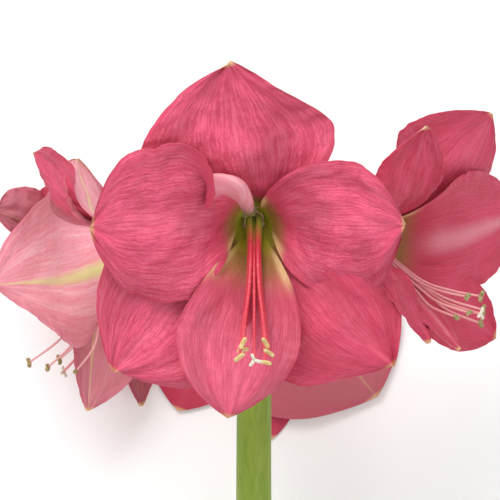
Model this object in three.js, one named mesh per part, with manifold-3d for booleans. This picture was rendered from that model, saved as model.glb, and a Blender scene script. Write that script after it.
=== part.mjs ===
// A cut amaryllis lying on a table: a hollow stem whose umbel carries four open flowers.
// Millimetres and degrees. The plant is laid out about its umbel, with +Y up the stem and +Z out
// of the front flower's face, and is then tipped back until its cut end lies on the table.
import * as THREE from "three";
import { mergeVertices } from "three/addons/utils/BufferGeometryUtils.js";
import Module from "manifold-3d";

const wasm = await Module();
wasm.setup();

// ---------- driving dimensions ----------

const lieAngle = 11; // how far the stem slopes up from its cut end to the umbel
const clearance = 0.35; // gap between pieces that touch

const stem = { length: 440, topRadius: 10.9, cutRadius: 12.6, wall: 3.4, crown: 12, sides: 20 };

const pedicel = { radius: 3.7, ring: 6.1, ovaryRadius: 6.3, neckRadius: 4.9, sides: 10 };
const pedicelSteps = 15;

const petal = {
  length: 116, // along the midrib
  halfWidth: 45,
  clawHalfWidth: 5.8, // where it joins the tube
  thickness: 1.1, // along the midrib
  marginThickness: 0.6,
  tipHalfWidth: 0.6,
  across: 6,
  along: 11,
};

// The outer whorl joins the tube a little lower and wider than the inner whorl.
const whorlGap = petal.thickness + 0.75;
const innerRing = 6.4;
const whorls = {
  inner: { ring: innerRing, height: whorlGap, funnel: 21, widest: 0.6, layer: 0 },
  outer: { ring: innerRing + whorlGap, height: 0, funnel: 27, widest: 0.57, layer: whorlGap },
};

const stamen = {
  ring: 3.7,
  baseRadius: 1.1,
  tipRadius: 0.65,
  antherLength: 7.5,
  antherRadius: 1.3,
  sides: 5,
  steps: 10,
};
const style = { baseRadius: 1.25, tipRadius: 0.9, lobeRadius: 1.15, lobeLength: 2.4, extra: 1.05 };

const bract = { length: 54, halfWidth: 8.5, thickness: 0.8, across: 4, along: 7 };

// The bundle of filaments leaves the tube along the flower's axis, sinks towards the bottom petal
// and turns up at its end. Each point is a share of the reach: [down, forward].
const bundle = {
  reach: 100,
  path: [[0, 0], [0.01, 0.16], [0.11, 0.34], [0.29, 0.5], [0.46, 0.65], [0.56, 0.86]],
};

// Where each petal sits round the tube, clockwise from the top as the flower is faced.
const petalPlaces = {
  top: { angle: 0, whorl: "outer" },
  upper_right: { angle: 60, whorl: "inner" },
  lower_right: { angle: 120, whorl: "outer" },
  bottom: { angle: 180, whorl: "inner" },
  lower_left: { angle: 240, whorl: "outer" },
  upper_left: { angle: 300, whorl: "inner" },
};

// yaw turns the flower about the stem from the front, nod drops its face, roll turns it on its own
// axis, out and rise place the base of its petals from the umbel. In a petal, aim is where its tip
// points round the flower, long scales its length, wide its half widths (anticlockwise, clockwise),
// point sharpens its tip, open is its final angle from the flower's axis, curl bends its tip further
// back, cup hollows it across (1/m), ruffle is its wavy margin (mm, waves, phase) and fold turns
// back its clockwise margin (degrees).
const flowers = {
  front: {
    seat: 0, yaw: 0, nod: 15, roll: 0, out: 78, rise: 64, sink: 1, reach: 1,
    petals: {
      top: {
        aim: -11, long: 1, wide: [1.3, 1.14], point: 1.25, open: 86, curl: -6, cup: -2,
        ruffle: [2.2, 2.3, 0.1],
      },
      upper_right: {
        aim: 89, long: 0.95, wide: [0.82, 1.04], point: 2.2, open: 68, curl: 10, cup: -1,
        ruffle: [2, 2, 0.5],
      },
      lower_right: {
        aim: 138, long: 1.1, wide: [1, 1.2], point: 2, open: 84, curl: 2, cup: -2,
        ruffle: [2.2, 2.4, 0.2],
      },
      bottom: {
        aim: 191, long: 1.05, wide: [0.72, 0.78], point: 1.7, open: 74, curl: 8, cup: 3,
        ruffle: [1.6, 2, 0],
      },
      lower_left: {
        aim: 221, long: 1.12, wide: [1.16, 1.05], point: 2, open: 84, curl: 0, cup: -2,
        ruffle: [2.2, 2.2, 0.7],
      },
      upper_left: {
        aim: 268, long: 1.02, wide: [1.06, 1.02], point: 2.4, open: 70, curl: 34, cup: -2,
        ruffle: [2, 2, 0.3], fold: [165, 24],
      },
    },
  },
  right: {
    seat: 90, yaw: 57, nod: 8, roll: -30, out: 75, rise: 53, sink: 0.6, reach: 0.96,
    petals: {
      top: {
        aim: 3, long: 0.98, wide: [1.1, 1], point: 2, widest: 0.45, open: 75, curl: 4, cup: 1,
        ruffle: [1.6, 2, 0.1],
      },
      upper_right: {
        aim: 41, long: 1.06, wide: [0.94, 0.85], point: 2.6, widest: 0.46, open: 76, curl: 6, cup: 0,
        ruffle: [1.6, 2, 0.4],
      },
      lower_right: {
        aim: 80, long: 1.04, wide: [0.66, 0.56], point: 2, open: 80, curl: 4, cup: 0,
        ruffle: [1.4, 2, 0.8],
      },
      bottom: {
        aim: 104, long: 0.82, wide: [0.5, 0.34], point: 1.8, open: 56, curl: 6, cup: 6,
        ruffle: [1.2, 2, 0.2],
      },
      lower_left: {
        aim: 156, long: 0.9, wide: [0.34, 0.4], point: 2, open: 62, curl: 4, cup: 4,
        ruffle: [1.2, 2, 0.5],
      },
      upper_left: {
        aim: 299, long: 0.92, wide: [0.48, 0.42], point: 1.8, open: 66, curl: 2, cup: 3,
        ruffle: [1, 2, 0.6], twist: -40,
      },
    },
  },
  left: {
    seat: 270, yaw: -110, nod: 16, roll: 0, out: 76, rise: 50, sink: 0.92, reach: 1,
    petals: {
      top: {
        aim: -22, long: 0.92, wide: [0.36, 0.5], point: 2.6, open: 58, curl: 6, cup: 0,
        ruffle: [1.8, 2, 0.3], twist: 48,
      },
      upper_right: {
        aim: 72, long: 0.92, wide: [0.6, 0.8], point: 2, open: 52, curl: 6, cup: 4,
        ruffle: [1.4, 2, 0.9],
      },
      lower_right: {
        aim: 82, long: 1.06, wide: [1.1, 1.02], point: 2, widest: 0.46, open: 76, curl: 2, cup: -4,
        ruffle: [1.4, 2, 0.2],
      },
      bottom: {
        aim: 172, long: 1, wide: [0.8, 0.8], point: 1.8, open: 68, curl: 4, cup: 4,
        ruffle: [1.2, 2, 0.6],
      },
      lower_left: {
        aim: 200, long: 1.08, wide: [0.8, 0.8], point: 1.8, open: 84, curl: 4, cup: 0,
        ruffle: [1.4, 2, 0.4],
      },
      upper_left: {
        aim: 306, long: 1.02, wide: [0.65, 0.6], point: 2, open: 46, curl: 4, cup: 6,
        ruffle: [1.2, 2, 0.1],
      },
    },
  },
  back: {
    seat: 180, yaw: 178, nod: 12, roll: 0, out: 52, rise: 36, sink: 0.5, reach: 0.55,
    petals: {
      top: { aim: 0, long: 1, wide: [1, 1], point: 2, open: 70, curl: 6, cup: 0, ruffle: [1.4, 2, 0.2] },
      upper_right: {
        aim: 62, long: 0.98, wide: [0.9, 0.9], point: 2, open: 64, curl: 6, cup: 0,
        ruffle: [1.4, 2, 0.5],
      },
      lower_right: {
        aim: 160, long: 1.06, wide: [0.9, 0.9], point: 2, open: 76, curl: 6, cup: -1,
        ruffle: [1.6, 2, 0.8],
      },
      bottom: {
        aim: 186, long: 1.12, wide: [0.72, 0.72], point: 1.8, open: 77, curl: 6, cup: 2,
        ruffle: [1.2, 2, 0],
      },
      lower_left: {
        aim: 219, long: 1.1, wide: [1.1, 1.05], point: 2, open: 80, curl: 4, cup: -1,
        ruffle: [1.6, 2, 0.3],
      },
      upper_left: {
        aim: 298, long: 0.98, wide: [0.9, 0.9], point: 2, open: 64, curl: 6, cup: 0,
        ruffle: [1.4, 2, 0.7],
      },
    },
  },
};

const finishes = {
  petal: new THREE.MeshStandardMaterial({ color: 0xd8486f, roughness: 0.55, side: THREE.DoubleSide }),
  stem: new THREE.MeshStandardMaterial({ color: 0x7f9a35, roughness: 0.45 }),
  pedicel: new THREE.MeshStandardMaterial({ color: 0x8ca545, roughness: 0.5 }),
  stamen: new THREE.MeshStandardMaterial({ color: 0xe0506a, roughness: 0.45 }),
  bract: new THREE.MeshStandardMaterial({ color: 0xb59a68, roughness: 0.8, side: THREE.DoubleSide }),
};

// ---------- shaping helpers ----------

const radians = THREE.MathUtils.degToRad;
const ease = (x, from, to) => THREE.MathUtils.smoothstep(x, from, to);
const mix = THREE.MathUtils.lerp;

// A closed skin over a list of rings, each turning anticlockwise about the way the list runs.
function closedSkin(rings) {
  const sides = rings[0].length;
  const points = rings.flat();
  const centreOf = (ring) => ring.reduce((sum, p) => sum.add(p), new THREE.Vector3()).divideScalar(sides);
  points.push(centreOf(rings[0]), centreOf(rings.at(-1)));
  const faces = [];
  const last = (rings.length - 1) * sides;
  for (let j = 0; j < sides; j++) {
    const next = (j + 1) % sides;
    for (let i = 0; i < last; i += sides) {
      faces.push(i + j, i + next, i + sides + j, i + next, i + sides + next, i + sides + j);
    }
    faces.push(points.length - 2, next, j, points.length - 1, last + j, last + next);
  }
  const geometry = new THREE.BufferGeometry().setFromPoints(points);
  geometry.setIndex(faces);
  geometry.computeVertexNormals();
  return geometry;
}

// A thin blade round a surface: surface(along, across) with along 0 to 1 and across -1 to 1.
function bladeGeometry(surface, size) {
  const grid = [];
  for (let i = 0; i <= size.along; i++) {
    const row = [];
    for (let j = 0; j <= size.across; j++) row.push(surface(i / size.along, (2 * j) / size.across - 1));
    grid.push(row);
  }
  const row = (i) => grid[THREE.MathUtils.clamp(i, 0, size.along)];
  const at = (i, j) => row(i)[THREE.MathUtils.clamp(j, 0, size.across)];
  const rings = grid.map((row, i) => {
    const front = [];
    const back = [];
    row.forEach((point, j) => {
      const alongStep = at(i + 1, j).clone().sub(at(i - 1, j));
      const acrossStep = at(i, j + 1).clone().sub(at(i, j - 1));
      const edge = Math.abs((2 * j) / size.across - 1) ** 2;
      const half = mix(size.thickness, size.marginThickness ?? size.thickness, edge) / 2;
      const normal = acrossStep.cross(alongStep).setLength(half);
      front.push(point.clone().add(normal));
      back.unshift(point.clone().sub(normal));
    });
    return [...front, ...back];
  });
  return closedSkin(rings);
}

// A round stalk of changing radius along a curve; radiusAt(share, angle) gives its outline.
function stalkGeometry(curve, steps, sides, radiusAt) {
  const frames = curve.computeFrenetFrames(steps, false);
  const rings = [];
  for (let i = 0; i <= steps; i++) {
    const centre = curve.getPointAt(i / steps);
    const ring = [];
    for (let j = 0; j < sides; j++) {
      const angle = (2 * Math.PI * j) / sides;
      const radius = radiusAt(i / steps, angle);
      const sideways = frames.normals[i].clone().multiplyScalar(radius * Math.cos(angle));
      const upwards = frames.binormals[i].clone().multiplyScalar(radius * Math.sin(angle));
      ring.push(centre.clone().add(sideways).add(upwards));
    }
    rings.push(ring);
  }
  return closedSkin(rings);
}

function solidOf(geometry) {
  const bare = geometry.clone();
  bare.deleteAttribute("normal");
  bare.deleteAttribute("uv");
  const merged = mergeVertices(bare, 1e-4);
  const vertProperties = merged.attributes.position.array;
  const triVerts = new Uint32Array(merged.index.array);
  return new wasm.Manifold(new wasm.Mesh({ numProp: 3, vertProperties, triVerts }));
}

// One grown piece made of several that run into each other.
function grownTogether(geometries) {
  const mesh = geometries.map(solidOf).reduce((whole, piece) => whole.add(piece)).getMesh();
  const geometry = new THREE.BufferGeometry();
  geometry.setAttribute("position", new THREE.BufferAttribute(new Float32Array(mesh.vertProperties), 3));
  geometry.setIndex(new THREE.BufferAttribute(new Uint32Array(mesh.triVerts), 1));
  geometry.computeVertexNormals();
  return geometry;
}

function addPiece(parent, name, geometry, material) {
  const mesh = new THREE.Mesh(geometry, material);
  mesh.name = name;
  parent.add(mesh);
  return mesh;
}

// ---------- the table that the plant lies on ----------

const laid = new THREE.Matrix4().makeRotationX(radians(lieAngle));
const cutDrop = stem.length * Math.sin(radians(lieAngle));
const tableLevel = -cutDrop - stem.cutRadius * Math.cos(radians(lieAngle));

// A petal that would reach through the table lies on it instead, or on the petal under it.
function pressOnTable(point, layer, toPlant, toFlower) {
  const lowest = tableLevel + petal.thickness / 2 + layer;
  const softness = 5;
  point.applyMatrix4(toPlant).applyMatrix4(laid);
  const above = point.z - lowest;
  if (above < softness) point.z = lowest + (above < -softness ? 0 : (above + softness) ** 2 / (4 * softness));
  return point.applyMatrix4(laid.clone().invert()).applyMatrix4(toFlower);
}

// ---------- stem and bracts ----------

function stemGeometry() {
  const { length, topRadius, cutRadius, wall, crown, sides } = stem;
  const outline = [
    [0, 0],
    [topRadius + 1.1, 0],
    [topRadius + 1.3, -crown * 0.5],
    [topRadius, -crown * 1.8],
    [mix(topRadius, cutRadius, 0.5), -length / 2],
    [cutRadius, -length],
    [cutRadius - wall, -length],
    [mix(topRadius, cutRadius, 0.5) - wall, -length / 2],
    [topRadius - wall, -crown * 2.6],
    [0, -crown * 1.9],
  ];
  return new THREE.LatheGeometry(outline.map(([r, y]) => new THREE.Vector2(r, y)).reverse(), sides);
}

// A withered bract stands off the stem just under its crown, then droops beside it.
function bractGeometry() {
  const foot = stem.topRadius + 1.5 + clearance + bract.thickness;
  const droop = new THREE.CatmullRomCurve3([
    new THREE.Vector3(0, -stem.crown * 0.85, foot),
    new THREE.Vector3(0, -stem.crown * 0.45, foot + 0.3),
    new THREE.Vector3(0, 0, foot + bract.length * 0.16),
    new THREE.Vector3(0, -bract.length * 0.22, foot + bract.length * 0.4),
    new THREE.Vector3(0, -bract.length * 0.62, foot + bract.length * 0.45),
  ]);
  const surface = (along, across) => {
    const spine = droop.getPointAt(along);
    const way = droop.getTangentAt(along);
    const side = new THREE.Vector3(-1, 0, 0);
    const face = way.clone().cross(side);
    const halfWidth = bract.halfWidth * (1 - along ** 2.2) ** 0.8 + 0.6;
    const wrap = mix(0.9 / foot, 0.13, ease(along, 0.1, 0.7));
    const offset = halfWidth * across;
    return spine
      .addScaledVector(side, Math.sin(offset * wrap) / wrap)
      .addScaledVector(face, -(1 - Math.cos(offset * wrap)) / wrap);
  };
  return bladeGeometry(surface, bract);
}

// ---------- one flower ----------

// The midrib as frames from the tube to the tip: point, way along it, side and inner face.
function midribFrames(place, shape) {
  const whorl = whorls[place.whorl];
  const frames = [];
  const fine = 4;
  const length = petal.length * shape.long;
  const point = new THREE.Vector3();
  const angleAt = (v) => radians(mix(place.angle, shape.aim, ease(v, 0, 0.6)));
  const openAt = (v) =>
    radians(mix(whorl.funnel, shape.open, ease(v, 0.03, 0.66)) + shape.curl * ease(v, 0.62, 1));
  const wayAt = (v) => {
    const [open, angle] = [openAt(v), angleAt(v)];
    const outward = Math.sin(open);
    return new THREE.Vector3(outward * Math.sin(angle), outward * Math.cos(angle), Math.cos(open));
  };
  const start = angleAt(0);
  point.set(whorl.ring * Math.sin(start), whorl.ring * Math.cos(start), whorl.height);
  for (let i = 0; i <= petal.along; i++) {
    const v = i / petal.along;
    const way = wayAt(v);
    const turn = radians(shape.twist ?? 0) * ease(v, 0.1, 0.7);
    const side = new THREE.Vector3(Math.cos(angleAt(v)), -Math.sin(angleAt(v)), 0).applyAxisAngle(way, turn);
    const wrap = (Math.cos(openAt(v)) / Math.hypot(point.x, point.y)) * (1 - ease(v, 0.35, 0.8));
    frames.push({ point: point.clone(), side, face: side.clone().cross(way), wrap });
    for (let k = 0; k < fine; k++) {
      point.addScaledVector(wayAt(v + (k + 0.5) / (fine * petal.along)), length / (fine * petal.along));
    }
  }
  return frames;
}

// Half the width at a share of the way along: a narrow claw, a broad blade and a pointed tip.
function halfWidthAt(v, half, widest, point) {
  const claw = petal.clawHalfWidth;
  if (v < widest) return claw + (half - claw) * Math.sin((Math.PI / 2) * (v / widest)) ** 1.9;
  const past = (v - widest) / (1 - widest);
  return half * (1 - past ** point) ** 0.9 + petal.tipHalfWidth;
}

// How far out and how high a point lies after going a distance across a strip that bends evenly,
// and bends again by a further amount past its hinge.
function acrossBend(distance, bend, hinge, hingeBend) {
  const flat = Math.min(distance, hinge);
  const past = distance - flat;
  const first = bend + 1e-6;
  const second = bend + hingeBend + 1e-6;
  const turned = first * flat;
  const end = turned + second * past;
  return [
    Math.sin(turned) / first + (Math.sin(end) - Math.sin(turned)) / second,
    (1 - Math.cos(turned)) / first + (Math.cos(turned) - Math.cos(end)) / second,
  ];
}

function petalGeometry(place, shape, toPlant, toFlower) {
  const whorl = whorls[place.whorl];
  const frames = midribFrames(place, shape);
  const widest = shape.widest ?? whorl.widest;
  const [depth, waves, phase] = shape.ruffle;
  const [foldAngle, foldWidth] = shape.fold ?? [0, 0];
  const surface = (along, across) => {
    const { point, side, face, wrap } = frames[Math.round(along * petal.along)];
    const hand = across < 0 ? 0 : 1;
    const folding = hand * ease(along, 0.05, 0.2) * (1 - ease(along, 0.35, 0.62));
    const plain = halfWidthAt(along, petal.halfWidth * shape.wide[hand], widest, shape.point);
    const half = plain + foldWidth * folding;
    const hinge = half * 0.5;
    const bend = wrap + (shape.cup / 1000) * ease(along, 0.15, 0.6);
    const foldBend = (radians(foldAngle) * folding) / (half - hinge);
    const [out, lift] = acrossBend(half * Math.abs(across), bend, hinge, foldBend);
    const wave = Math.sin(2 * Math.PI * (waves * along + phase + 0.3 * Math.sign(across)));
    const ruffle = depth * across ** 2 * wave * ease(along, 0.25, 0.6);
    const placed = point.clone().addScaledVector(side, Math.sign(across) * out);
    return pressOnTable(placed.addScaledVector(face, lift + ruffle), whorl.layer, toPlant, toFlower);
  };
  return bladeGeometry(surface, petal);
}

// The route of one filament, kept beside its neighbours and spread a little at its end.
function filamentCurve(flower, angle, reachShare) {
  const points = bundle.path.map(([fall, forward], i) => {
    const down = fall * flower.sink;
    const share = i / (bundle.path.length - 1);
    const ring = angle === null ? 0 : stamen.ring * mix(1, 2.1, ease(share, 0.35, 1));
    const reach = bundle.reach * flower.reach * mix(1, reachShare, share);
    const slope = radians(62 * flower.sink * ease(share, 0, 0.6));
    const across = ring * Math.sin(radians(angle ?? 0));
    const over = ring * Math.cos(radians(angle ?? 0));
    const up = over * Math.cos(slope) - down * reach;
    const point = new THREE.Vector3(across, up, over * Math.sin(slope) + forward * reach);
    return point.applyAxisAngle(new THREE.Vector3(0, 0, 1), radians(-flower.roll));
  });
  return new THREE.CatmullRomCurve3(points);
}

function stamenGeometry(flower, index) {
  const angle = 30 + 60 * index;
  const curve = filamentCurve(flower, angle, 0.9 + 0.045 * ((index * 2) % 5));
  const radiusAt = (share) => mix(stamen.baseRadius, stamen.tipRadius, share);
  const filament = stalkGeometry(curve, stamen.steps, stamen.sides, radiusAt);
  const antherSpan = stamen.antherLength - 2 * stamen.antherRadius;
  const anther = new THREE.CapsuleGeometry(stamen.antherRadius, antherSpan, 1, 6);
  anther.rotateZ(radians(25 * (index - 2.5) + 90)); // each hangs its own way from the filament's tip
  anther.translate(...curve.getPointAt(1).toArray());
  return grownTogether([filament, anther]);
}

function styleGeometry(flower) {
  const curve = filamentCurve(flower, null, style.extra);
  const radiusAt = (share) => mix(style.baseRadius, style.tipRadius, share);
  const pieces = [stalkGeometry(curve, stamen.steps, stamen.sides, radiusAt)];
  const tip = curve.getPointAt(1).toArray();
  for (let lobe = 0; lobe < 3; lobe++) {
    const stigma = new THREE.CapsuleGeometry(style.lobeRadius, style.lobeLength, 1, 5);
    stigma.translate(0, style.lobeLength / 2, 0).rotateZ(radians(20 + 120 * lobe)).translate(...tip);
    pieces.push(stigma);
  }
  return grownTogether(pieces);
}

// From the crown of the stem out to the flower, swelling into the ovary below the petals.
function pedicelGeometry(flower, toPlant) {
  const seat = radians(flower.seat);
  const outwards = new THREE.Vector3(Math.sin(seat), 0, Math.cos(seat));
  const start = outwards.clone().multiplyScalar(pedicel.ring).setY(clearance);
  const facing = new THREE.Vector3(0, 0, 1).transformDirection(toPlant);
  const end = new THREE.Vector3(0, 0, -clearance).applyMatrix4(toPlant);
  const span = start.distanceTo(end);
  const curve = new THREE.CubicBezierCurve3(
    start,
    start.clone().add(new THREE.Vector3(0, span * 0.42, 0)),
    end.clone().addScaledVector(facing, -span * 0.42),
    end,
  );
  const tubeRadius = whorls.outer.ring + petal.thickness;
  const radiusAt = (share, angle) => {
    const ovary = ease(share, 0.66, 0.8) * (1 - ease(share, 0.84, 0.92));
    const plain = mix(pedicel.radius, pedicel.neckRadius, ease(share, 0.75, 0.9));
    const lobes = 1 + 0.05 * ovary * Math.cos(3 * angle);
    return mix(mix(plain, pedicel.ovaryRadius, ovary) * lobes, tubeRadius, ease(share, 0.9, 1));
  };
  return stalkGeometry(curve, pedicelSteps, pedicel.sides, radiusAt);
}

function addFlower(plant, name, flower) {
  const bloom = new THREE.Group();
  const yaw = radians(flower.yaw);
  bloom.position.set(flower.out * Math.sin(yaw), flower.rise, flower.out * Math.cos(yaw));
  bloom.rotation.set(radians(flower.nod), yaw, radians(flower.roll), "YXZ");
  plant.add(bloom);
  bloom.updateMatrix();
  const toPlant = bloom.matrix.clone();
  const toFlower = toPlant.clone().invert();
  addPiece(plant, `${name}_pedicel`, pedicelGeometry(flower, toPlant), finishes.pedicel);
  for (const [where, place] of Object.entries(petalPlaces)) {
    const geometry = petalGeometry(place, flower.petals[where], toPlant, toFlower);
    addPiece(bloom, `${name}_petal_${where}`, geometry, finishes.petal);
  }
  for (let i = 0; i < 6; i++) {
    addPiece(bloom, `${name}_stamen_${i + 1}`, stamenGeometry(flower, i), finishes.stamen);
  }
  addPiece(bloom, `${name}_style`, styleGeometry(flower), finishes.stamen);
}

// ---------- the whole plant ----------

const plant = new THREE.Group();
addPiece(plant, "stem", stemGeometry(), finishes.stem);
addPiece(plant, "bract_front", bractGeometry(), finishes.bract).rotation.y = radians(45);
addPiece(plant, "bract_back", bractGeometry(), finishes.bract).rotation.y = radians(225);
for (const [name, flower] of Object.entries(flowers)) addFlower(plant, name, flower);
plant.rotation.x = radians(lieAngle);

// The origin is under the middle of the plant, on the table.
const amaryllis = new THREE.Group().add(plant);
const box = new THREE.Box3().setFromObject(amaryllis, true);
plant.position.set(-(box.min.x + box.max.x) / 2, -(box.min.y + box.max.y) / 2, -box.min.z);

export default amaryllis;
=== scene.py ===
from math import cos, hypot, pi, radians, sin

import bpy
from mathutils import Matrix, Vector


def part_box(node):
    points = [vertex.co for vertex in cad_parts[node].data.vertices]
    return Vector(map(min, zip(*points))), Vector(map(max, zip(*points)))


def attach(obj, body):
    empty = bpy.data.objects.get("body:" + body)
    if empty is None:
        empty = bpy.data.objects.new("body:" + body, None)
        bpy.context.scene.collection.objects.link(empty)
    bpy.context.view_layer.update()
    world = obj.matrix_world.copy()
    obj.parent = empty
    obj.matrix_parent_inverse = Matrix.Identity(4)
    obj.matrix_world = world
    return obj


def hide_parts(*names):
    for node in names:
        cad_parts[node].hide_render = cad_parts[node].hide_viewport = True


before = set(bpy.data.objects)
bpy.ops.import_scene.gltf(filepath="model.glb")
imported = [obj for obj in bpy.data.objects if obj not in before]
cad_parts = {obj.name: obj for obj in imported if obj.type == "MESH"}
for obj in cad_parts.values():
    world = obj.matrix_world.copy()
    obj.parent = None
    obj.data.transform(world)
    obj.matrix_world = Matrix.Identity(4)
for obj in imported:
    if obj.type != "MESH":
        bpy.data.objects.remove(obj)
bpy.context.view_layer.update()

# The flowers are measured in millimetres about the umbel: +X to the right, +Y up the stem and
# +Z out of the front flower's face. plant lays that space down on the table, in metres.
mm = 0.001
lieAngle = radians(11)
crownRadius = 12.0
# a Mix node's sockets for its two colours, and for its result
colourSockets, colourResult = (6, 7), 2


def plantFrame():
    low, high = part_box("stem")
    y = high.y - crownRadius * mm * sin(lieAngle)
    z = high.z - crownRadius * mm * cos(lieAngle)
    umbel = Vector(((low.x + high.x) / 2, y, z))
    return Matrix.Translation(umbel) @ Matrix.Rotation(lieAngle, 4, "X") @ Matrix.Scale(mm, 4)


plant = plantFrame()


def ease(x, start, end):
    t = min(1, max(0, (x - start) / (end - start)))
    return t * t * (3 - 2 * t)


def mix(a, b, share):
    return a + (b - a) * share


# A method that joins a wire to other values in one math node.
def joining(operation):
    return lambda wire, *others: wire.join(operation, *others)


# A socket in a node tree that can be added, multiplied and so on as a value.
class Wire:
    def __init__(self, shop, socket):
        self.shop, self.socket = shop, socket

    def isVector(self):
        return self.socket.type in ("VECTOR", "RGBA")

    def join(self, operation, *others):
        items = [self, *others]
        flat = not any(isinstance(i, Wire) and i.isVector() or isinstance(i, (tuple, Vector)) for i in items)
        kind = "ShaderNodeMath" if flat else "ShaderNodeVectorMath"
        return self.shop.add(kind, {"operation": operation}, dict(enumerate(items)))

    def times(self, other):
        if self.isVector() and not (isinstance(other, Wire) and other.isVector()):
            return self.shop.add("ShaderNodeVectorMath", {"operation": "SCALE"}, {0: self, "Scale": other})
        if isinstance(other, Wire) and other.isVector() and not self.isVector():
            return other.times(self)
        return self.join("MULTIPLY", other)

    def __rsub__(self, other):
        return self.shop.value(other).join("SUBTRACT", self)

    def __neg__(self):
        return self * -1

    def ease(self, start, end, low=0.0, high=1.0):
        values = {"Value": self, "From Min": start, "From Max": end, "To Min": low, "To Max": high}
        return self.shop.add("ShaderNodeMapRange", {"interpolation_type": "SMOOTHSTEP"}, values)

    # how much of other takes this one's place
    def towards(self, other, share):
        return self + (other - self) * share

    __add__ = __radd__ = joining("ADD")
    __sub__ = joining("SUBTRACT")
    __mul__ = __rmul__ = times
    __truediv__ = joining("DIVIDE")
    __pow__ = joining("POWER")
    __abs__ = joining("ABSOLUTE")
    sin = joining("SINE")
    cos = joining("COSINE")
    sign = joining("SIGN")
    below = joining("MINIMUM")
    above = joining("MAXIMUM")


# Adds nodes to a material's tree or a Geometry Nodes tree.
class Workshop:
    def __init__(self, tree):
        self.tree = tree

    def add(self, kind, settings=(), inputs=(), out=0):
        node = self.tree.nodes.new(kind)
        for name, value in dict(settings).items():
            setattr(node, name, value)
        for name, value in dict(inputs).items():
            if isinstance(value, Wire):
                self.tree.links.new(value.socket, node.inputs[name])
            else:
                node.inputs[name].default_value = value
        return Wire(self, node.outputs[out])

    def value(self, number):
        return self.add("ShaderNodeMath", {"operation": "ADD"}, {0: number, 1: 0.0})

    def outputOf(self, wire, out):
        return Wire(self, wire.socket.node.outputs[out])

    def spot(self, x=0.0, y=0.0, z=0.0):
        return self.add("ShaderNodeCombineXYZ", {}, {0: x, 1: y, 2: z})

    def noise(self, place, scale, detail=3.0, roughness=0.5):
        return self.add("ShaderNodeTexNoise", {"noise_dimensions": "3D"},
                        {"Vector": place, "Scale": scale, "Detail": detail, "Roughness": roughness})

    def attribute(self, name):
        return self.add("ShaderNodeAttribute", {"attribute_name": name}, {}, "Fac")

    def blend(self, share, *colours):
        inputs = {0: share}
        for socket, colour in zip(colourSockets, colours):
            inputs[socket] = colour if isinstance(colour, Wire) else (*colour, 1)
        return self.add("ShaderNodeMix", {"data_type": "RGBA"}, inputs, colourResult)

    def layOver(self, under, *layers):
        for share, colour in layers:
            under = self.blend(share, under, colour)
        return under


# A spine is a line of points carrying side, face and more, and each tree wraps a closed skin round it.
def newTree(name, numbers):
    tree = bpy.data.node_groups.new(name, "GeometryNodeTree")
    tree.interface.new_socket("Spine", in_out="INPUT", socket_type="NodeSocketGeometry")
    tree.interface.new_socket("Skin", in_out="OUTPUT", socket_type="NodeSocketGeometry")
    for label, start in numbers.items():
        kind = "NodeSocketInt" if isinstance(start, int) else "NodeSocketFloat"
        tree.interface.new_socket(label, in_out="INPUT", socket_type=kind).default_value = start
    tree.interface.new_socket("Material", in_out="INPUT", socket_type="NodeSocketMaterial")
    shop = Workshop(tree)
    entry = tree.nodes.new("NodeGroupInput")
    return shop, {socket.name: Wire(shop, socket) for socket in entry.outputs if socket.name}


# A closed tube of points, its x and y, and along (0 to 1) as fields.
def tubeRound(shop, inputs):
    cylinder = shop.add("GeometryNodeMeshCylinder", {"fill_type": "TRIANGLE_FAN"},
                        {"Vertices": inputs["Strips"], "Side Segments": inputs["Rows"], "Radius": 1.0,
                         "Depth": 1.0})
    parts = shop.add("ShaderNodeSeparateXYZ", {}, {0: shop.add("GeometryNodeInputPosition")})
    x, y, z = (shop.outputOf(parts, k) for k in range(3))
    return cylinder, x, y, (z + 0.5).below(1.0).above(0.0)


def sampleSpine(shop, inputs, along, vectors=(), numbers=()):
    line = shop.add("GeometryNodeMeshToCurve", {}, {"Mesh": inputs["Spine"]})
    found = {}
    for name in (*vectors, *numbers):
        kind = "FLOAT_VECTOR" if name in vectors else "FLOAT"
        field = shop.add("GeometryNodeInputNamedAttribute", {"data_type": kind}, {"Name": name})
        sample = shop.tree.nodes.new("GeometryNodeSampleCurve")
        sample.mode, sample.data_type, sample.use_all_curves = "FACTOR", kind, False
        for label, wire in (("Curves", line), ("Value", field), ("Factor", along)):
            shop.tree.links.new(wire.socket, sample.inputs[label])
        found[name] = Wire(shop, sample.outputs["Value"])
        found["spot"] = Wire(shop, sample.outputs["Position"])
    return found


def store(shop, skin, **fields):
    for name, field in fields.items():
        skin = shop.add("GeometryNodeStoreNamedAttribute", {"data_type": "FLOAT", "domain": "POINT"},
                        {"Geometry": skin, "Name": name, "Value": field})
    return skin


def leaveTree(shop, skin):
    leave = shop.tree.nodes.new("NodeGroupOutput")
    shop.tree.links.new(skin.socket, leave.inputs[0])
    return shop.tree


def realAndPainted(shop, inputs, skin):
    real = shop.add("GeometryNodeRealizeInstances", {}, {0: skin})
    return shop.add("GeometryNodeSetMaterial", {}, {"Geometry": real, "Material": inputs["Material"]})


def finishTree(shop, inputs, skin, position):
    moved = shop.add("GeometryNodeSetPosition", {}, {"Geometry": skin, "Position": position})
    smooth = shop.add("GeometryNodeSetShadeSmooth", {}, {0: moved, "Shade Smooth": True})
    return leaveTree(shop, realAndPainted(shop, inputs, smooth))


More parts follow.
